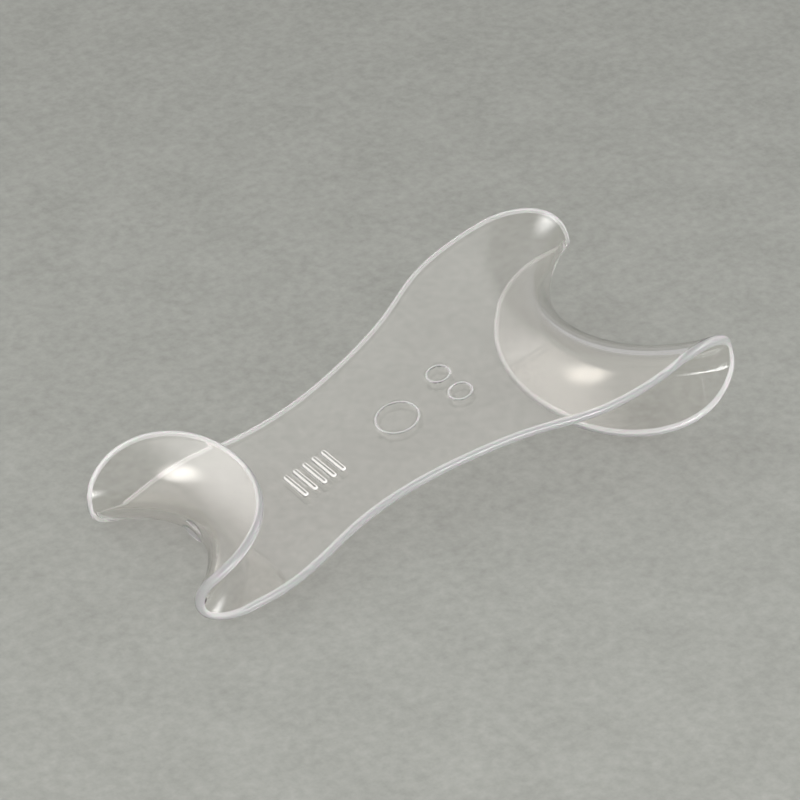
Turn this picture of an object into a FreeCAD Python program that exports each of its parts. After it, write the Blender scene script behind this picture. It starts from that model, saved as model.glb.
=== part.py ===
import FreeCAD, Part
import math
import os

from FreeCAD import Rotation, Vector

# Double-ended cheek retractor, injection moulded in clear polycarbonate.
# It is one moulding. The solids below are its regions, and meet face to face.
# The sheet is laid out flat in X and Y, with its middle plane at Z = 0, and is
# turned at the end to stand on its lowest points. The small end is at -X and
# curls up, the large end is at +X and curls down. Lengths are in millimetres.

# ---- driving dimensions ----------------------------------------------------

WALL = 2.0                      # thickness of the moulded sheet

# Half width of the handle plate at stations along X, from lobe to lobe.
WAIST_X = -18.0                 # where the handle is narrowest
WAIST_HALF_WIDTH = 18.4
HANDLE_STATIONS = (             # distance from the waist, half width there
    (-18.0, 21.0),
    (-8.0, 19.0),
    (10.0, 19.1),
    (22.0, 21.6),
    (32.0, 24.9),
    (42.0, 29.5),
)

# Small end, for small mouths and for front teeth.
SMALL_BAY_X = 49.8              # from the origin of the plate to the bay's wall
SMALL_BAY_RADIUS = 20.2         # radius of the bay that goes round the lip
SMALL_BEND_RADIUS = 6.2         # middle radius where the plate turns
SMALL_CURL_RADIUS = 6.4         # middle radius where the flange turns back
SMALL_FLANGE_LEAN = 24.0        # angle between flange and plate, degrees
SMALL_FLANGE_REACH = 12.6       # how far the flange leans back over the plate
SMALL_FLANGE_FULLNESS = 3.1     # 2 gives a round crescent, more gives square shoulders
SMALL_TIP_ANGLE = 67.5          # where the horn stands on the bay, degrees
SMALL_TIP_SLANT = 52.0          # turn of the lobe's edge at the horn, degrees
SMALL_LOBE_X = 45.0             # where the lobe starts to turn in
SMALL_LOBE_HALF_WIDTH = 21.9

# Large end, for wide mouths.
LARGE_BAY_X = 41.4
LARGE_BAY_RADIUS = 27.8
LARGE_BEND_RADIUS = 12.1
LARGE_CURL_RADIUS = 3.0
LARGE_FLANGE_LEAN = 26.5
LARGE_FLANGE_REACH = 12.4
LARGE_FLANGE_FULLNESS = 4.2
LARGE_TIP_ANGLE = 72.5
LARGE_TIP_SLANT = 0.0
LARGE_LOBE_X = 39.0
LARGE_LOBE_HALF_WIDTH = 31.9

# Raised grip ribs across the plate, next to the small end.
RIB_COUNT = 5
RIB_PITCH = 2.3
RIB_LENGTH = 7.6
RIB_WIDTH = 1.1
RIB_HEIGHT = 0.35
RIB_CENTRE_X = -23.2
RIB_CENTRE_Y = -1.6

# Plain rings that the ejector pins leave on the plate.
RING_WIDTH = 0.5
RING_HEIGHT = 0.15
RINGS = (                       # centre along X, across Y, outer radius
    (-2.7, -1.5, 4.6),
    (10.4, -5.1, 2.6),
    (10.4, 2.1, 2.6),
)

# Scar of the moulding gate, a raised oval on the outside of the small bend.
GATE_LENGTH = 7.0
GATE_WIDTH = 2.4
GATE_HEIGHT = 0.4
GATE_ANGLE = 78.0               # place on the bend, degrees round from the plate

# How far the lobe's curve runs towards its own corner, 0 to 1.
LOBE_FULLNESS = 0.48

TOOL_MARGIN = 5.0               # how far cutting tools stand past what they cut
RIM_POINTS = 8                  # points that shape half of a flange's rim


class End:
    """One end of the retractor, in its own frame: U outwards, curling up to +Z."""

    def __init__(
        self, bay_x, bay_radius, bend, curl, lean, reach, fullness, tip, slant, lobe_x, lobe_width
    ):
        self.wall = bay_x
        self.radius = bay_radius
        self.axis = bay_x + bay_radius
        self.bend = bend
        self.curl = curl
        self.turn = math.pi - math.radians(lean)
        self.reach = reach
        self.fullness = fullness
        self.tip = math.radians(tip)
        self.slant = math.radians(slant)
        self.lobe_start = Vector(lobe_x, lobe_width, 0)

    def polar(self, radius, angle, z=0.0):
        """A point at a radius and an angle round the bay's axis."""
        return Vector(self.axis - radius * math.cos(angle), radius * math.sin(angle), z)

    def section(self, turn, offset):
        """A point of the curled sheet's section at Y = 0, offset to its outside."""
        radius = self.bend if turn <= math.pi / 2 else self.curl
        centre = Vector(self.wall - radius, 0, self.bend)
        return centre + Vector(math.sin(turn), 0, -math.cos(turn)) * (radius + offset)

    def lobe_curve(self):
        """From where the lobe starts to turn in, round to the horn on the bay's wall."""
        tip = self.polar(self.radius, self.tip)
        heading = self.tip - self.slant
        outwards = Vector(-math.cos(heading), math.sin(heading), 0)
        corner = tip + outwards * ((self.lobe_start.y - tip.y) / outwards.y)
        curve = Part.BezierCurve()
        curve.setPoles([
            self.lobe_start,
            self.lobe_start + (corner - self.lobe_start) * LOBE_FULLNESS,
            tip + (corner - tip) * LOBE_FULLNESS,
            tip,
        ])
        return curve

    def rim_point(self, share):
        """A point of the flange's rim in plan, from one horn (-1) to the other (1)."""
        radius = self.radius + self.reach * (1 - abs(share) ** self.fullness)
        return self.polar(radius, share * self.tip)


SMALL = End(
    SMALL_BAY_X, SMALL_BAY_RADIUS, SMALL_BEND_RADIUS, SMALL_CURL_RADIUS,
    SMALL_FLANGE_LEAN, SMALL_FLANGE_REACH, SMALL_FLANGE_FULLNESS,
    SMALL_TIP_ANGLE, SMALL_TIP_SLANT, SMALL_LOBE_X, SMALL_LOBE_HALF_WIDTH,
)
LARGE = End(
    LARGE_BAY_X, LARGE_BAY_RADIUS, LARGE_BEND_RADIUS, LARGE_CURL_RADIUS,
    LARGE_FLANGE_LEAN, LARGE_FLANGE_REACH, LARGE_FLANGE_FULLNESS,
    LARGE_TIP_ANGLE, LARGE_TIP_SLANT, LARGE_LOBE_X, LARGE_LOBE_HALF_WIDTH,
)


# ---- turning an end's frame into the plate's frame ---------------------------

def as_small_end(shape):
    """U points to -X and the flange stays above the plate."""
    turned = shape.copy()
    turned.rotate(Vector(0, 0, 0), Vector(0, 0, 1), 180)
    return turned


def as_large_end(shape):
    """U points to +X and the flange goes below the plate."""
    turned = shape.copy()
    turned.rotate(Vector(0, 0, 0), Vector(1, 0, 0), 180)
    return turned


# ---- outline of the plate and its lobes --------------------------------------

def plate_outline():
    """The flat outline of both lobes and the waisted handle, closed across the bays."""
    small_lobe = as_small_end(SMALL.lobe_curve().toShape())
    small_lobe = small_lobe.mirror(Vector(0, 0, 0), Vector(0, 1, 0))
    large_lobe = LARGE.lobe_curve().toShape()

    points = [Vector(-SMALL.lobe_start.x, SMALL.lobe_start.y, 0)]
    points += [
        Vector(WAIST_X + step, half_width, 0)
        for step, half_width in sorted(HANDLE_STATIONS + ((0.0, WAIST_HALF_WIDTH),))
    ]
    points.append(LARGE.lobe_start)
    side = Part.BSplineCurve()
    side.interpolate(Points=points, InitialTangent=Vector(1, 0, 0), FinalTangent=Vector(1, 0, 0))

    large_mouth = LARGE.polar(LARGE.radius - TOOL_MARGIN, LARGE.tip)
    small_mouth = SMALL.polar(SMALL.radius - TOOL_MARGIN, SMALL.tip)
    small_mouth = Vector(-small_mouth.x, small_mouth.y, 0)
    large_tip = LARGE.polar(LARGE.radius, LARGE.tip)
    small_tip = SMALL.polar(SMALL.radius, SMALL.tip)
    small_tip = Vector(-small_tip.x, small_tip.y, 0)
    mirror = Vector(0, 1, 0)
    half = [
        Part.makeLine(small_mouth, small_tip),
        small_lobe,
        side.toShape(),
        large_lobe,
        Part.makeLine(large_tip, large_mouth),
    ]
    other = [edge.mirror(Vector(0, 0, 0), mirror) for edge in half]
    ends = [
        Part.makeLine(Vector(p.x, p.y, 0), Vector(p.x, -p.y, 0))
        for p in (small_mouth, large_mouth)
    ]
    return Part.Wire(Part.__sortEdges__(half + other + ends))


def prism(wire, bottom, top):
    """The space over a flat closed wire, between two heights."""
    face = Part.Face(wire)
    face.translate(Vector(0, 0, bottom))
    return face.extrude(Vector(0, 0, top - bottom))


OUTLINE = plate_outline()


# ---- the curled ends ---------------------------------------------------------

def arc_edge(end, offset, start, finish):
    """The section's inside or outside between two turns of the same radius."""
    middle = (start + finish) / 2
    points = [end.section(turn, offset) for turn in (start, middle, finish)]
    return Part.Arc(*points).toShape()


def curl_face(end, start, finish, inside, outside):
    """The sheet's section between two turns, as a flat face at Y = 0."""
    inner = arc_edge(end, inside, start, finish)
    outer = arc_edge(end, outside, start, finish)
    inner_ends = [inner.valueAt(inner.FirstParameter), inner.valueAt(inner.LastParameter)]
    outer_ends = [outer.valueAt(outer.FirstParameter), outer.valueAt(outer.LastParameter)]
    caps = [Part.makeLine(inner_ends[i], outer_ends[i]) for i in (0, 1)]
    return Part.Face(Part.Wire(Part.__sortEdges__([inner, outer] + caps)))


def spun(end, face):
    """A section face carried round the bay's axis, from tip to tip."""
    base = Vector(end.axis, 0, 0)
    start = face.copy()
    start.rotate(base, Vector(0, 0, 1), math.degrees(end.tip))
    return start.revolve(base, Vector(0, 0, 1), -2 * math.degrees(end.tip))


def flange_space(end):
    """The space over a flange's crescent, from the bend's middle height upwards."""
    shares = [index / RIM_POINTS for index in range(-RIM_POINTS, RIM_POINTS + 1)]
    rim = Part.BSplineCurve()
    rim.interpolate([end.rim_point(share) for share in shares])
    tips = [end.polar(end.radius, side * end.tip) for side in (-1, 1)]
    mouths = [end.polar(end.radius - TOOL_MARGIN, side * end.tip) for side in (-1, 1)]
    edges = [
        rim.toShape(),
        Part.makeLine(tips[0], mouths[0]),
        Part.makeLine(mouths[0], mouths[1]),
        Part.makeLine(mouths[1], tips[1]),
    ]
    return prism(Part.Wire(Part.__sortEdges__(edges)), end.bend, end.bend + 2 * end.reach)


def lip_channel(end, outline):
    """The bend that goes round the lip: up from the plate, and back over it."""
    half = WALL / 2
    lower = spun(end, curl_face(end, 0, math.pi / 2, -half, half))
    lower = lower.common(prism(outline, -TOOL_MARGIN, end.bend + TOOL_MARGIN))
    upper = spun(end, curl_face(end, math.pi / 2, end.turn, -half, half))
    upper = upper.common(flange_space(end))
    return lower.fuse(upper).removeSplitter()


def cheek_flange(end):
    """The straight part of the flange, that holds the cheek off the teeth."""
    half = WALL / 2
    inner = end.section(end.turn, -half)
    outer = end.section(end.turn, half)
    along = Vector(math.cos(end.turn), 0, math.sin(end.turn)) * (2 * end.reach)
    corners = [inner, outer, outer + along, inner + along, inner]
    strip = spun(end, Part.Face(Part.makePolygon(corners)))
    return strip.common(flange_space(end))


# ---- the flat plate and what stands on it ------------------------------------

def bend_space(end):
    """The round space that a curled end takes out of the flat plate."""
    radius = end.radius + end.bend
    return Part.makeCylinder(radius, 2 * TOOL_MARGIN, Vector(end.axis, 0, -TOOL_MARGIN))


def handle_plate():
    sheet = prism(OUTLINE, -WALL / 2, WALL / 2)
    sheet = sheet.cut(as_small_end(bend_space(SMALL)))
    return sheet.cut(as_large_end(bend_space(LARGE)))


def slot_wire(length, width):
    """A bar with round ends, flat at Z = 0, long across the plate."""
    side = width / 2
    reach = length / 2 - side
    return Part.Wire([
        Part.makeLine(Vector(side, -reach, 0), Vector(side, reach, 0)),
        Part.Arc(Vector(side, reach, 0), Vector(0, length / 2, 0), Vector(-side, reach, 0)).toShape(),
        Part.makeLine(Vector(-side, reach, 0), Vector(-side, -reach, 0)),
        Part.Arc(Vector(-side, -reach, 0), Vector(0, -length / 2, 0), Vector(side, -reach, 0)).toShape(),
    ])


def grip_ribs():
    bars = []
    for index in range(RIB_COUNT):
        bar = prism(slot_wire(RIB_LENGTH, RIB_WIDTH), WALL / 2, WALL / 2 + RIB_HEIGHT)
        bar.translate(Vector(RIB_CENTRE_X + (index - (RIB_COUNT - 1) / 2) * RIB_PITCH,
                             RIB_CENTRE_Y, 0))
        bars.append(bar)
    return Part.Compound(bars)


def ejector_rings():
    rings = []
    for x, y, radius in RINGS:
        base = Vector(x, y, WALL / 2)
        disc = Part.makeCylinder(radius, RING_HEIGHT, base)
        rings.append(disc.cut(Part.makeCylinder(radius - RING_WIDTH, RING_HEIGHT, base)))
    return Part.Compound(rings)


def gate_scar(end):
    """An oval pad on the outside of the bend, no deeper than the sheet's skin."""
    skin = spun(end, curl_face(end, 0, math.pi / 2, WALL / 2, WALL / 2 + GATE_HEIGHT))
    turn = math.radians(GATE_ANGLE)
    oval = Part.Face(slot_wire(GATE_LENGTH, GATE_WIDTH)).extrude(Vector(0, 0, 2 * TOOL_MARGIN))
    outward = Vector(math.sin(turn), 0, -math.cos(turn))
    oval.Placement = FreeCAD.Placement(end.section(turn, 0), Rotation(Vector(0, 0, 1), outward))
    return skin.common(oval)


# ---- standing the retractor on its lowest points -----------------------------

def lowest_edge(shapes):
    """The lower hull edge, seen from the side, that the centre of mass stands over."""
    points = set()
    for shape in shapes:
        points.update((p.x, p.z) for p in shape.tessellate(0.1)[0])
    hull = []
    for point in sorted(points):
        while len(hull) > 1:
            (x1, z1), (x2, z2) = hull[-2:]
            if (x2 - x1) * (point[1] - z1) - (z2 - z1) * (point[0] - x1) > 0:
                break
            hull.pop()
        hull.append(point)
    mass = sum(shape.Volume for shape in shapes)
    middle = sum(shape.Volume * shape.CenterOfGravity.x for shape in shapes) / mass
    for first, second in zip(hull, hull[1:]):
        if first[0] <= middle <= second[0]:
            return first, second
    return hull[0], hull[-1]


def stand(nodes):
    """Turn the whole part onto its lowest points, centred over the origin."""
    (x1, z1), (x2, z2) = lowest_edge(list(nodes.values()))
    tilt = math.degrees(math.atan2(z2 - z1, x2 - x1))
    for shape in nodes.values():
        shape.rotate(Vector(0, 0, 0), Vector(0, 1, 0), tilt)
    box = FreeCAD.BoundBox()
    for shape in nodes.values():
        box.add(shape.optimalBoundingBox(False))
    for shape in nodes.values():
        shape.translate(Vector(-box.Center.x, -box.Center.y, -box.ZMin))
    return tilt, box


NODES = {
    "handle_plate": handle_plate(),
    "small_lip_channel": as_small_end(lip_channel(SMALL, as_small_end(OUTLINE))),
    "small_cheek_flange": as_small_end(cheek_flange(SMALL)),
    "large_lip_channel": as_large_end(lip_channel(LARGE, as_large_end(OUTLINE))),
    "large_cheek_flange": as_large_end(cheek_flange(LARGE)),
    "grip_ribs": grip_ribs(),
    "ejector_rings": ejector_rings(),
    "gate_scar": as_small_end(gate_scar(SMALL)),
}

tilt, box = stand(NODES)
print(f"tilt {tilt:.2f} degrees, box {box.XLength:.2f} x {box.YLength:.2f} x {box.ZLength:.2f}")

os.makedirs("parts", exist_ok=True)
for name, shape in NODES.items():
    print(name, len(shape.Solids), "solid(s), valid", shape.isValid(), f"{shape.Volume:.1f} mm3")
    shape.exportStep(f"parts/{name}.step")
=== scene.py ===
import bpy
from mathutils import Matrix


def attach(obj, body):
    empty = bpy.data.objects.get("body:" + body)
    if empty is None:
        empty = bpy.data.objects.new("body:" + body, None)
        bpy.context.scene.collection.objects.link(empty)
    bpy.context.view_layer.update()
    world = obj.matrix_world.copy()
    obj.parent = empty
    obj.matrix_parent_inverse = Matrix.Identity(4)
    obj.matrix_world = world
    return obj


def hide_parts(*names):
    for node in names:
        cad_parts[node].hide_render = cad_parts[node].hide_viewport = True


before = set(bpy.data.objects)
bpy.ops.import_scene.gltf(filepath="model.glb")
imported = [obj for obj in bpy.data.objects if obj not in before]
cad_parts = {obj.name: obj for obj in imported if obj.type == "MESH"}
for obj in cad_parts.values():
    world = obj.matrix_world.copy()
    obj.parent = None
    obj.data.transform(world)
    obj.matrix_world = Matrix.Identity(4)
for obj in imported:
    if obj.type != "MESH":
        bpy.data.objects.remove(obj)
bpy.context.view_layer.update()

import math

import bpy
import numpy as np
from mathutils import Matrix, Vector


# ---- The clear sheet ---------------------------------------------------------
# The retractor is one 2 mm sheet of clear polycarbonate, injection moulded. It is
# flat where it is held, and runs without a seam through the lip channels into the
# two cheek flanges. Lengths are in millimetres, and the sheet starts out flat.

SHEET = 2.0
SKIN = SHEET / 2
LOBE_FULLNESS = 0.48

# Where the side of the handle runs, along the sheet and out from its middle.
HANDLE_SIDE = (
    (-36.0, 21.0), (-26.0, 19.0), (-18.0, 18.4), (-8.0, 19.1),
    (4.0, 21.6), (14.0, 24.9), (24.0, 29.5),
)

SMALL_END = {
    "bay": 49.8, "radius": 20.2, "bend": 6.2, "curl": 6.4, "lean": 24.0, "crown": 22.0,
    "reach": 12.6, "fullness": 3.1, "horn": 67.5, "slant": 52.0, "lobe": (45.0, 21.9),
}
LARGE_END = {
    "bay": 41.4, "radius": 27.8, "bend": 12.1, "curl": 3.0, "lean": 26.5, "crown": 22.0,
    "reach": 12.4, "fullness": 4.2, "horn": 72.5, "slant": 0.0, "lobe": (39.0, 31.9),
}

ACROSS = 110                    # faces from side to side of the sheet
FLANGE_ROWS = 30
BEND_ROWS = 26
HANDLE_ROWS = 80
RIM_STEPS = 8                   # faces round the half circle of the rim
CORNER_SHARE = 0.72             # where the sheet's four corners stand on the flange rims


def horn_angle(end):
    """The horn's angle round the bay, less the rounding of the rim."""
    return math.radians(end["horn"]) - SKIN / end["radius"]


def flange_profile(end):
    """Points up the flange: distance from the bay's wall, height and turn, rim at the end.

    The sheet curls back over the handle, and from there on it is only slightly crowned.
    """
    crown = math.radians(end["crown"])
    most = math.pi / 2 - math.radians(end["lean"])
    curled = end["curl"] * (most - crown / 2)
    left = (end["reach"] - end["curl"] * (1 - math.cos(most))) / math.sin(most)
    distance, height, profile = 0.0, end["bend"], []
    step = 0.05
    for number in range(int((curled + left * 1.3) / step)):
        length = number * step
        turn = min(length / end["curl"], most - crown / 2)
        turn += crown * min(1.0, max(0.0, length - curled) / left)
        profile.append((distance, height, math.pi / 2 + turn))
        distance += step * math.sin(turn)
        height += step * math.cos(turn)
    return np.array(profile)


for end in (SMALL_END, LARGE_END):
    end["profile"] = flange_profile(end)


def up_flange(end, distance):
    """Distance from the bay's wall, height and turn of the sheet, that far from the wall."""
    profile = end["profile"]
    return (
        distance,
        float(np.interp(distance, profile[:, 0], profile[:, 1])),
        float(np.interp(distance, profile[:, 0], profile[:, 2])),
    )


def rim_distance(end, share):
    """How far the flange's rim is from the bay's wall, from its middle (0) to a horn (1)."""
    return (end["reach"] - SKIN) * (1 - min(1.0, abs(share)) ** end["fullness"])


def sheet_point(end, distance, height, turn, angle):
    """A point of the sheet's middle, and the way its upper face points, in the end's frame."""
    radius = end["radius"] + distance
    point = Vector((
        end["bay"] + end["radius"] - radius * math.cos(angle), radius * math.sin(angle), height,
    ))
    upwards = Vector((
        -math.sin(turn) * math.cos(angle), math.sin(turn) * math.sin(angle), math.cos(turn),
    ))
    return point, upwards


def lobe_line(end, steps=240):
    """The lobe's edge, from where it starts to turn in to the horn."""
    angle = horn_angle(end)
    tip, _ = sheet_point(end, 0, 0, 0, angle)
    heading = angle - math.radians(end["slant"])
    outwards = Vector((-math.cos(heading), math.sin(heading), 0))
    start = Vector((end["lobe"][0], end["lobe"][1] - SKIN, 0))
    corner = tip + outwards * ((start.y - tip.y) / outwards.y)
    poles = (start, start.lerp(corner, LOBE_FULLNESS), tip.lerp(corner, LOBE_FULLNESS), tip)
    line = []
    for step in range(steps + 1):
        t = step / steps
        weights = ((1 - t) ** 3, 3 * t * (1 - t) ** 2, 3 * t * t * (1 - t), t ** 3)
        line.append(sum((pole * weight for pole, weight in zip(poles, weights)), Vector()))
    return line


def bay_distance(end, point):
    """How far a point of the flat sheet is from the bay's wall."""
    return math.hypot(end["bay"] + end["radius"] - point.x, point.y) - end["radius"]


def flange_rows(end):
    """Rows from the flange's rim down to where the sheet stands upright."""
    lengths = np.arange(len(end["profile"]), dtype=float)
    corner = np.interp(rim_distance(end, CORNER_SHARE), end["profile"][:, 0], lengths)
    rows = []
    for row in range(FLANGE_ROWS):
        down = 1 - row / FLANGE_ROWS
        edge_distance = float(np.interp(corner * down, lengths, end["profile"][:, 0]))
        edge_share = (1 - edge_distance / (end["reach"] - SKIN)) ** (1 / end["fullness"])
        points = []
        for column in range(ACROSS + 1):
            across = 2 * column / ACROSS - 1
            share = across * edge_share
            top = np.interp(rim_distance(end, share), end["profile"][:, 0], lengths)
            here = np.interp(top * down ** (1 - across ** 4), lengths, end["profile"][:, 0])
            points.append(sheet_point(end, *up_flange(end, float(here)), share * horn_angle(end)))
        rows.append(points)
    return rows


def bend_rows(end, lobe):
    """Rows from where the sheet stands upright down to the flat handle."""
    distances = [bay_distance(end, point) for point in lobe][::-1]
    angles = [math.atan2(p.y, end["bay"] + end["radius"] - p.x) for p in lobe][::-1]
    rows = []
    for row in range(BEND_ROWS + 1):
        turn = math.pi / 2 * (1 - row / BEND_ROWS)
        distance = end["bend"] * (1 - math.sin(turn))
        height = end["bend"] * (1 - math.cos(turn))
        edge = float(np.interp(distance, distances, angles))
        rows.append([
            sheet_point(end, distance, height, turn, edge * (2 * column / ACROSS - 1))
            for column in range(ACROSS + 1)
        ])
    return rows


def small_side(point):
    """A point or direction of an end, turned to the small end: at -X, curling up."""
    return Vector((-point.x, point.y, point.z))


def large_side(point):
    """A point or direction of an end, turned to the large end: at +X, curling down."""
    return Vector((point.x, point.y, -point.z))


small_lobe = lobe_line(SMALL_END)
large_lobe = lobe_line(LARGE_END)
small_rows = [
    [(small_side(point), small_side(upwards)) for point, upwards in row]
    for row in flange_rows(SMALL_END) + bend_rows(SMALL_END, small_lobe)
]
large_rows = [
    [(large_side(point), -large_side(upwards)) for point, upwards in row]
    for row in flange_rows(LARGE_END) + bend_rows(LARGE_END, large_lobe)
]

# The handle's side is a smooth line through its stations, level at both ends.
stations = np.array([
    (-SMALL_END["lobe"][0], SMALL_END["lobe"][1]), *HANDLE_SIDE, LARGE_END["lobe"],
]) - (0, SKIN)
gap = np.diff(stations[:, 0])
rise = np.diff(stations[:, 1]) / gap
count = len(stations)
system, right = np.eye(count), np.zeros(count)
for i in range(1, count - 1):
    system[i, i - 1:i + 2] = gap[i], 2 * (gap[i - 1] + gap[i]), gap[i - 1]
    right[i] = 3 * (gap[i] * rise[i - 1] + gap[i - 1] * rise[i])
slope = np.linalg.solve(system, right)
side = [small_side(p) for p in small_lobe[::-1] if bay_distance(SMALL_END, p) > SMALL_END["bend"]]
for i in range(count - 1):
    for t in np.linspace(0, 1, 41)[1:]:
        height = (
            stations[i, 1] * (1 + 2 * t) * (1 - t) ** 2 + stations[i + 1, 1] * t * t * (3 - 2 * t)
            + gap[i] * (slope[i] * t * (1 - t) ** 2 - slope[i + 1] * t * t * (1 - t))
        )
        side.append(Vector((stations[i, 0] + t * gap[i], height, 0)))
side += [large_side(p) for p in large_lobe[1:] if bay_distance(LARGE_END, p) > LARGE_END["bend"]]
side = [small_rows[-1][-1][0], *side, large_rows[-1][-1][0]]
walked = np.cumsum([0] + [(b - a).length for a, b in zip(side, side[1:])])
even = np.linspace(0, walked[-1], HANDLE_ROWS + 1)
side_x = np.interp(even, walked, [point.x for point in side])
side_y = np.interp(even, walked, [point.y for point in side])

# The flat handle fills the space between the two bends and its two sides.
handle_rows = []
for row in range(1, HANDLE_ROWS):
    along = row / HANDLE_ROWS
    between = small_rows[-1][-1][0].lerp(large_rows[-1][-1][0], along)
    shift = Vector((side_x[row], side_y[row], 0)) - between
    points = []
    for column in range(ACROSS + 1):
        ruled = small_rows[-1][column][0].lerp(large_rows[-1][column][0], along)
        spread = Vector((shift.x, shift.y * (2 * column / ACROSS - 1), 0))
        points.append((ruled + spread, Vector((0, 0, 1))))
    handle_rows.append(points)
rows = small_rows + handle_rows + large_rows[::-1]

# Upper and lower face, then the round rim between them, all the way round.
width, length = ACROSS + 1, len(rows)
upper = [point + upwards * SKIN for row in rows for point, upwards in row]
lower = [point - upwards * SKIN for row in rows for point, upwards in row]
points = upper + lower
faces = []
for row in range(length - 1):
    for column in range(ACROSS):
        corner = row * width + column
        face = (corner, corner + width, corner + width + 1, corner + 1)
        faces.append(face)
        faces.append(tuple(i + len(upper) for i in face[::-1]))
border = [(0, column) for column in range(ACROSS)]
border += [(row, ACROSS) for row in range(length - 1)]
border += [(length - 1, column) for column in range(ACROSS, 0, -1)]
border += [(row, 0) for row in range(length - 1, 0, -1)]
rings = [[row * width + column for row, column in border]]
edge_line = [rows[row][column] for row, column in border]
for step in range(1, RIM_STEPS):
    angle = math.pi * step / RIM_STEPS
    ring = []
    for i, (point, upwards) in enumerate(edge_line):
        along = edge_line[(i + 1) % len(edge_line)][0] - edge_line[i - 1][0]
        outwards = upwards.cross(along).normalized()
        ring.append(len(points))
        points.append(point + (upwards * math.cos(angle) + outwards * math.sin(angle)) * SKIN)
    rings.append(ring)
rings.append([index + len(upper) for index in rings[0]])
first_rim_face = len(faces)
for ring, below in zip(rings, rings[1:]):
    for i in range(len(ring)):
        j = (i + 1) % len(ring)
        faces.append((ring[i], ring[j], below[j], below[i]))
mesh = bpy.data.meshes.new("clear_moulding")
mesh.from_pydata([point * 0.001 for point in points], [], faces)
for face in mesh.polygons[first_rim_face:]:
    face.material_index = 1
moulding = bpy.data.objects.new("clear_moulding", mesh)
bpy.context.collection.objects.link(moulding)
bpy.ops.object.select_all(action="DESELECT")
moulding.select_set(True)
bpy.context.view_layer.objects.active = moulding
bpy.ops.object.mode_set(mode="EDIT")
bpy.ops.mesh.select_all(action="SELECT")
bpy.ops.mesh.normals_make_consistent(inside=False)
bpy.ops.object.mode_set(mode="OBJECT")
bpy.ops.object.shade_smooth()

# Moulded plastic is never quite even: its gloss drifts, fine wear from cleaning dulls
# it here and there, and the skin waves a little.
uneven = bpy.data.node_groups.new("moulded_surface", "ShaderNodeTree")
for title in ("Roughness", "Spread"):
    uneven.interface.new_socket(name=title, in_out="INPUT", socket_type="NodeSocketFloat")
for title in ("Roughness", "Height"):
    uneven.interface.new_socket(name=title, in_out="OUTPUT", socket_type="NodeSocketFloat")
nodes, links = uneven.nodes, uneven.links
given = nodes.new("NodeGroupInput")
place = nodes.new("ShaderNodeTexCoord")
wear = nodes.new("ShaderNodeTexNoise")
wear.inputs["Scale"].default_value = 260
wear.inputs["Detail"].default_value = 5
wear.inputs["Roughness"].default_value = 0.7
wave = nodes.new("ShaderNodeTexNoise")
wave.inputs["Scale"].default_value = 75
wave.inputs["Detail"].default_value = 1
about = nodes.new("ShaderNodeMath")
about.operation = "SUBTRACT"
about.inputs[1].default_value = 0.5
gloss = nodes.new("ShaderNodeMath")
gloss.operation = "MULTIPLY_ADD"
result = nodes.new("NodeGroupOutput")
links.new(place.outputs["Object"], wear.inputs["Vector"])
links.new(place.outputs["Object"], wave.inputs["Vector"])
links.new(wear.outputs["Fac"], about.inputs[0])
links.new(about.outputs["Value"], gloss.inputs[0])
links.new(given.outputs["Spread"], gloss.inputs[1])
links.new(given.outputs["Roughness"], gloss.inputs[2])
links.new(gloss.outputs["Value"], result.inputs["Roughness"])
links.new(wave.outputs["Fac"], result.inputs["Height"])


def make_uneven(nodes, links, solid, roughness, spread, depth):
    """Feed the shader's gloss and skin from the shared moulded surface."""
    surface = nodes.new("ShaderNodeGroup")
    surface.node_tree = uneven
    surface.inputs["Roughness"].default_value = roughness
    surface.inputs["Spread"].default_value = spread
    bump = nodes.new("ShaderNodeBump")
    bump.inputs["Distance"].default_value = depth
    links.new(surface.outputs["Roughness"], solid.inputs["Roughness"])
    links.new(surface.outputs["Height"], bump.inputs["Height"])
    links.new(bump.outputs["Normal"], solid.inputs["Normal"])


# The polycarbonate is clear with a breath of haze, and lamps shine through it on to
# the table without the sheet throwing a hard shadow.
clear = bpy.data.materials.new("clear_polycarbonate")
clear.use_nodes = True
nodes, links = clear.node_tree.nodes, clear.node_tree.links
glass = nodes["Principled BSDF"]
glass.inputs["Base Color"].default_value = (0.975, 0.96, 0.935, 1)
glass.inputs["Transmission Weight"].default_value = 0.99
glass.inputs["IOR"].default_value = 1.585
make_uneven(nodes, links, glass, 0.05, 0.06, 0.00003)


def let_lamps_through(nodes, links, solid, tint):
    """Mix the shader with a see-through one for the rays that only carry lamp light."""
    path = nodes.new("ShaderNodeLightPath")
    either = nodes.new("ShaderNodeMath")
    either.operation = "MAXIMUM"
    links.new(path.outputs["Is Shadow Ray"], either.inputs[0])
    links.new(path.outputs["Is Diffuse Ray"], either.inputs[1])
    passed = nodes.new("ShaderNodeBsdfTransparent")
    passed.inputs["Color"].default_value = tint
    mix = nodes.new("ShaderNodeMixShader")
    links.new(either.outputs["Value"], mix.inputs[0])
    links.new(solid.outputs["BSDF"], mix.inputs[1])
    links.new(passed.outputs["BSDF"], mix.inputs[2])
    links.new(mix.outputs["Shader"], nodes["Material Output"].inputs["Surface"])


let_lamps_through(nodes, links, glass, (0.94, 0.93, 0.93, 1))
moulding.data.materials.append(clear)

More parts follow.
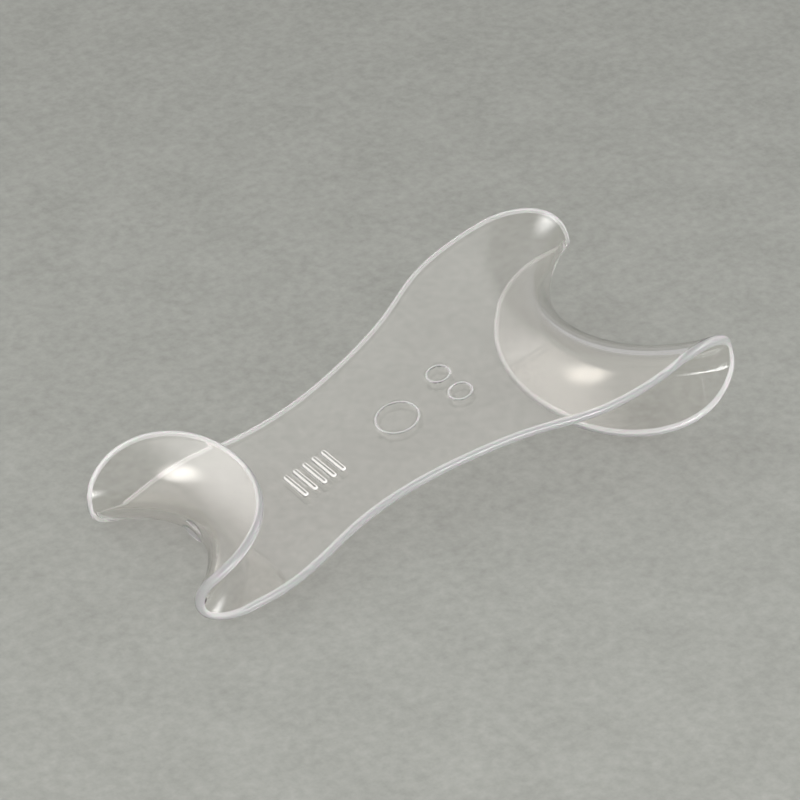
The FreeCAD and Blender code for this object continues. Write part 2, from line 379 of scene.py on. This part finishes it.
# The rim is a little matt from the mould's parting line, and gathers light that has
# travelled through the sheet.
rim = bpy.data.materials.new("moulded_rim")
rim.use_nodes = True
nodes, links = rim.node_tree.nodes, rim.node_tree.links
glow = nodes["Principled BSDF"]
glow.inputs["Base Color"].default_value = (0.99, 0.95, 0.94, 1)
glow.inputs["Transmission Weight"].default_value = 0.6
glow.inputs["Subsurface Weight"].default_value = 1
glow.inputs["Subsurface Radius"].default_value = (1, 0.85, 0.95)
glow.inputs["Subsurface Scale"].default_value = 0.0015
glow.inputs["IOR"].default_value = 1.585
make_uneven(nodes, links, glow, 0.16, 0.1, 0.00003)
let_lamps_through(nodes, links, glow, (0.92, 0.91, 0.91, 1))
moulding.data.materials.append(rim)

# Painted highlight: the raised marks' edges get an almost white, nearly opaque finish that stands
# in for the light they catch.
painted_glint = bpy.data.materials.new("painted_glint_marks")
painted_glint.use_nodes = True
nodes, links = painted_glint.node_tree.nodes, painted_glint.node_tree.links
glint_white = nodes["Principled BSDF"]
glint_white.inputs["Base Color"].default_value = (0.98, 0.96, 0.93, 1)
glint_white.inputs["Transmission Weight"].default_value = 0.05
glint_white.inputs["IOR"].default_value = 1.585
make_uneven(nodes, links, glint_white, 0.35, 0.2, 0.00002)
let_lamps_through(nodes, links, glint_white, (0.92, 0.91, 0.91, 1))
moulding.data.materials.append(painted_glint)


# ---- Grip ribs ---------------------------------------------------------------
# Five low bars across the handle, near the small end, that the thumb finds. They
# are moulded with the sheet and stand about a third of a millimetre proud.

RIB_SIZE = (1.1, 7.6, 0.35)
RIB_PITCH = 2.3
RIB_MIDDLE = (-23.2, -1.6)
RIB_COUNT = 5
RIB_END = 0.54                  # rounding of the rib's ends, almost a half circle
RIB_SHOULDER = 0.34             # rounding along its top, painted white with the rib's sides as a painted highlight
RIB_TOP_LEAST = 1e-6            # square metres; of the faces that look up, only the top has it
HAIR = 1e-6                     # metres, a difference in height that counts as none
SUNK = 0.5                      # how far a raised mark reaches into the sheet


def into_moulding(mark):
    """Join a raised mark to the moulding, so that no wall is left inside."""
    bpy.ops.object.select_all(action="DESELECT")
    moulding.select_set(True)
    bpy.context.view_layer.objects.active = moulding
    join = moulding.modifiers.new("join", "BOOLEAN")
    join.operation = "UNION"
    join.solver = "EXACT"
    join.object = mark
    bpy.ops.object.modifier_apply(modifier="join")
    bpy.data.objects.remove(mark)


for number in range(RIB_COUNT):
    height = RIB_SIZE[2] + SUNK
    place = (
        RIB_MIDDLE[0] + (number - RIB_COUNT // 2) * RIB_PITCH, RIB_MIDDLE[1],
        SKIN - SUNK + height / 2,
    )
    bpy.ops.object.select_all(action="DESELECT")
    bpy.ops.mesh.primitive_cube_add(
        size=0.001, location=[c * 0.001 for c in place],
        scale=(RIB_SIZE[0], RIB_SIZE[1], height),
    )
    rib = bpy.context.object
    bpy.ops.object.transform_apply(location=True, rotation=True, scale=True)
    bpy.ops.object.mode_set(mode="EDIT")
    bpy.ops.mesh.select_mode(type="EDGE")
    bpy.ops.mesh.select_all(action="DESELECT")
    bpy.ops.object.mode_set(mode="OBJECT")
    for edge in rib.data.edges:
        ends = [rib.data.vertices[i].co for i in edge.vertices]
        edge.select = abs(ends[0].z - ends[1].z) > HAIR
    bpy.ops.object.mode_set(mode="EDIT")
    bpy.ops.mesh.bevel(
        offset=RIB_END * 0.001, segments=6, affect="EDGES", clamp_overlap=True,
    )
    bpy.ops.mesh.select_all(action="DESELECT")
    bpy.ops.object.mode_set(mode="OBJECT")
    top = max(vertex.co.z for vertex in rib.data.vertices)
    for edge in rib.data.edges:
        edge.select = all(rib.data.vertices[i].co.z > top - HAIR for i in edge.vertices)
    bpy.ops.object.mode_set(mode="EDIT")
    bpy.ops.mesh.bevel(
        offset=RIB_SHOULDER * 0.001, segments=4, affect="EDGES", clamp_overlap=False,
    )
    bpy.ops.object.mode_set(mode="OBJECT")
    for finish in (clear, rim, painted_glint):
        rib.data.materials.append(finish)
    # Only the flat top stays clear; the rib's sides, ends and shoulders take the painted
    # highlight.
    for face in rib.data.polygons:
        flat_top = face.normal.z > 0.95 and face.area > RIB_TOP_LEAST
        face.material_index = 0 if flat_top else 2
    bpy.ops.object.shade_smooth()
    into_moulding(rib)


# ---- Ejector rings -----------------------------------------------------------
# Three thin plain rings that the ejector pins of the mould leave on the handle.

# Along and across the handle, and outer radius.
RINGS = ((-2.7, -1.5, 4.6), (10.4, -5.1, 2.6), (10.4, 2.1, 2.6))
RING_WIDTH = 0.5
RING_HEIGHT = 0.15

for x, y, radius in RINGS:
    bpy.ops.object.select_all(action="DESELECT")
    bpy.ops.mesh.primitive_torus_add(
        location=(x * 0.001, y * 0.001, SKIN * 0.001),
        major_radius=(radius - RING_WIDTH / 2) * 0.001, minor_radius=RING_WIDTH / 2 * 0.001,
        major_segments=72, minor_segments=12,
    )
    ring = bpy.context.object
    bpy.ops.object.mode_set(mode="EDIT")
    bpy.ops.transform.resize(value=(1, 1, RING_HEIGHT / (RING_WIDTH / 2)))
    bpy.ops.object.mode_set(mode="OBJECT")
    bpy.ops.object.transform_apply(location=True, rotation=True, scale=True)
    for finish in (clear, rim, painted_glint):
        ring.data.materials.append(finish)
    for face in ring.data.polygons:
        face.material_index = 1
    bpy.ops.object.shade_smooth()
    into_moulding(ring)


# ---- Gate scar ---------------------------------------------------------------
# An oval pad on the outside of the small bend, where the plastic ran into the mould
# and the runner was trimmed off.

GATE = (7.0, 2.4, 0.4)          # across the sheet, along the bend, and how proud
GATE_TURN = math.radians(78)    # place on the bend, round from the handle

seat, upwards = sheet_point(
    SMALL_END, SMALL_END["bend"] * (1 - math.sin(GATE_TURN)),
    SMALL_END["bend"] * (1 - math.cos(GATE_TURN)), GATE_TURN, 0,
)
outside = small_side(seat - upwards * SKIN)
bpy.ops.object.select_all(action="DESELECT")
bpy.ops.mesh.primitive_uv_sphere_add(segments=48, ring_count=24, radius=0.001)
scar = bpy.context.object
bpy.ops.object.mode_set(mode="EDIT")
bpy.ops.transform.resize(value=(GATE[1] / 2, GATE[0] / 2, GATE[2]))
bpy.ops.object.mode_set(mode="OBJECT")
scar.data.transform(Matrix.Rotation(-GATE_TURN, 4, "Y"))
scar.data.transform(Matrix.Translation(outside * 0.001))
for finish in (clear, rim, painted_glint):
    scar.data.materials.append(finish)
for face in scar.data.polygons:
    face.material_index = 1
bpy.ops.object.shade_smooth()
into_moulding(scar)


# ---- Lying on the table ------------------------------------------------------
# The finished moulding rests on the tips of the small lobes and on the rim of the
# large flange, so the handle leans up towards the large end.

LIE = math.radians(-13.55)

moulding.data.transform(Matrix.Rotation(LIE, 4, "Y"))
corners = [vertex.co for vertex in moulding.data.vertices]
middle = (max(c.x for c in corners) + min(c.x for c in corners)) / 2
moulding.data.transform(Matrix.Translation((-middle, 0, -min(c.z for c in corners))))

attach(moulding, "root")
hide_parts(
    "handle_plate", "small_lip_channel", "small_cheek_flange",
    "large_lip_channel", "large_cheek_flange", "grip_ribs", "ejector_rings", "gate_scar",
)


# ---- The table ---------------------------------------------------------------
# A plain matt surface, pale grey and slightly mottled, that the retractor lies on. Its colour is
# painted lighter towards the front and darker towards the back, as painted light.

bpy.ops.object.select_all(action="DESELECT")
bpy.ops.mesh.primitive_plane_add(size=4)
table = bpy.context.object
table.name = "table"
laminate = bpy.data.materials.new("grey_table_top")
laminate.use_nodes = True
nodes, links = laminate.node_tree.nodes, laminate.node_tree.links
matt = nodes["Principled BSDF"]
matt.inputs["Roughness"].default_value = 0.8
matt.inputs["Specular IOR Level"].default_value = 0.2
place = nodes.new("ShaderNodeTexCoord")
grain = nodes.new("ShaderNodeTexNoise")
grain.inputs["Scale"].default_value = 420
grain.inputs["Detail"].default_value = 3
grain.inputs["Roughness"].default_value = 0.65
cloud = nodes.new("ShaderNodeTexNoise")
cloud.inputs["Scale"].default_value = 70
cloud.inputs["Detail"].default_value = 2
both = nodes.new("ShaderNodeMix")
both.inputs["Factor"].default_value = 0.3
for noise in (grain, cloud):
    links.new(place.outputs["Object"], noise.inputs["Vector"])
links.new(grain.outputs["Fac"], both.inputs["A"])
links.new(cloud.outputs["Fac"], both.inputs["B"])
tone = nodes.new("ShaderNodeValToRGB")
tone.color_ramp.elements[0].position = 0.3
tone.color_ramp.elements[0].color = (0.318, 0.324, 0.298, 1)
tone.color_ramp.elements[1].position = 0.7
tone.color_ramp.elements[1].color = (0.422, 0.428, 0.398, 1)
links.new(both.outputs["Result"], tone.inputs["Fac"])
# Painted light: the mottled grey is scaled from 0.9 at the back up to 1.12 towards the camera, a
# painted falloff of the light across the table.
along = nodes.new("ShaderNodeVectorMath")
along.operation = "DOT_PRODUCT"
along.inputs[1].default_value = (-0.6, -0.8, 0)
fade = nodes.new("ShaderNodeMapRange")
fade.inputs["From Min"].default_value = -0.16
fade.inputs["From Max"].default_value = 0.16
fade.inputs["To Min"].default_value = 0.9
fade.inputs["To Max"].default_value = 1.12
painted_light_falloff = nodes.new("ShaderNodeVectorMath")
painted_light_falloff.operation = "SCALE"
links.new(place.outputs["Object"], along.inputs[0])
links.new(along.outputs["Value"], fade.inputs["Value"])
links.new(tone.outputs["Color"], painted_light_falloff.inputs[0])
links.new(fade.outputs["Result"], painted_light_falloff.inputs["Scale"])
links.new(painted_light_falloff.outputs["Vector"], matt.inputs["Base Color"])
table.data.materials.append(laminate)


# ---- Light and camera --------------------------------------------------------
# A far soft lamp behind on the left, with a wide glow round it, makes the highlights on
# the flanges. A wide one overhead lifts the handle, two low ones in front and on the
# right light the near rims, and the room is an even white of half strength.

def soft_lamp(name, direction, distance, size, power, tint=(1, 1, 1)):
    """A lamp, wide by high, that is brightest in its middle and fades out to its edge."""
    lamp = bpy.data.lights.new(name, "AREA")
    lamp.shape = "RECTANGLE"
    lamp.size, lamp.size_y = size
    lamp.energy = power
    lamp.color = tint
    lamp.use_nodes = True
    nodes, links = lamp.node_tree.nodes, lamp.node_tree.links
    across = nodes.new("ShaderNodeNewGeometry")
    middle = nodes.new("ShaderNodeVectorMath")
    middle.operation = "DISTANCE"
    middle.inputs[1].default_value = (0.5, 0.5, 0)
    fade = nodes.new("ShaderNodeMapRange")
    fade.interpolation_type = "SMOOTHERSTEP"
    fade.inputs["From Min"].default_value = 0.5
    fade.inputs["From Max"].default_value = 0.0
    fade.inputs["To Max"].default_value = 4
    links.new(across.outputs["Parametric"], middle.inputs[0])
    links.new(middle.outputs["Value"], fade.inputs["Value"])
    links.new(fade.outputs["Result"], nodes["Emission"].inputs["Strength"])
    thing = bpy.data.objects.new(name, lamp)
    bpy.context.collection.objects.link(thing)
    thing.location = Vector(direction).normalized() * distance
    thing.rotation_euler = Vector(direction).to_track_quat("Z", "Y").to_euler()
    return thing


soft_lamp("window_lamp", (-0.68, 0.42, 0.596), 4.0, (2.7, 1.4), 18.0, (1, 0.97, 0.93))
soft_lamp("window_glow", (-0.38, 0.64, 0.67), 1.3, (1.7, 1.7), 5.2, (1, 0.98, 0.96))
soft_lamp("ceiling_lamp", (0.2, 0.63, 0.75), 1.5, (1.5, 1.5), 1.0)
soft_lamp("front_lamp", (-0.3, -0.93, 0.2), 1.2, (1.8, 0.9), 12.0)
soft_lamp("side_lamp", (0.8, -0.5, 0.35), 1.0, (1.0, 0.8), 3.0)

room = bpy.data.worlds.new("room")
room.use_nodes = True
room.node_tree.nodes["Background"].inputs["Color"].default_value = (1, 1, 1, 1)
room.node_tree.nodes["Background"].inputs["Strength"].default_value = 0.52
bpy.context.scene.world = room

camera = bpy.data.cameras.new("camera")
camera.lens = 183.6
camera.sensor_width = 36
camera.clip_end = 10
camera_stand = bpy.data.objects.new("camera", camera)
camera_stand.location = (-0.390, -0.519, 0.481)
camera_stand.rotation_euler = (math.radians(54.389), math.radians(-0.2), math.radians(-36.71))
bpy.context.collection.objects.link(camera_stand)
bpy.context.scene.camera = camera_stand

bpy.context.scene.view_settings.view_transform = "Standard"
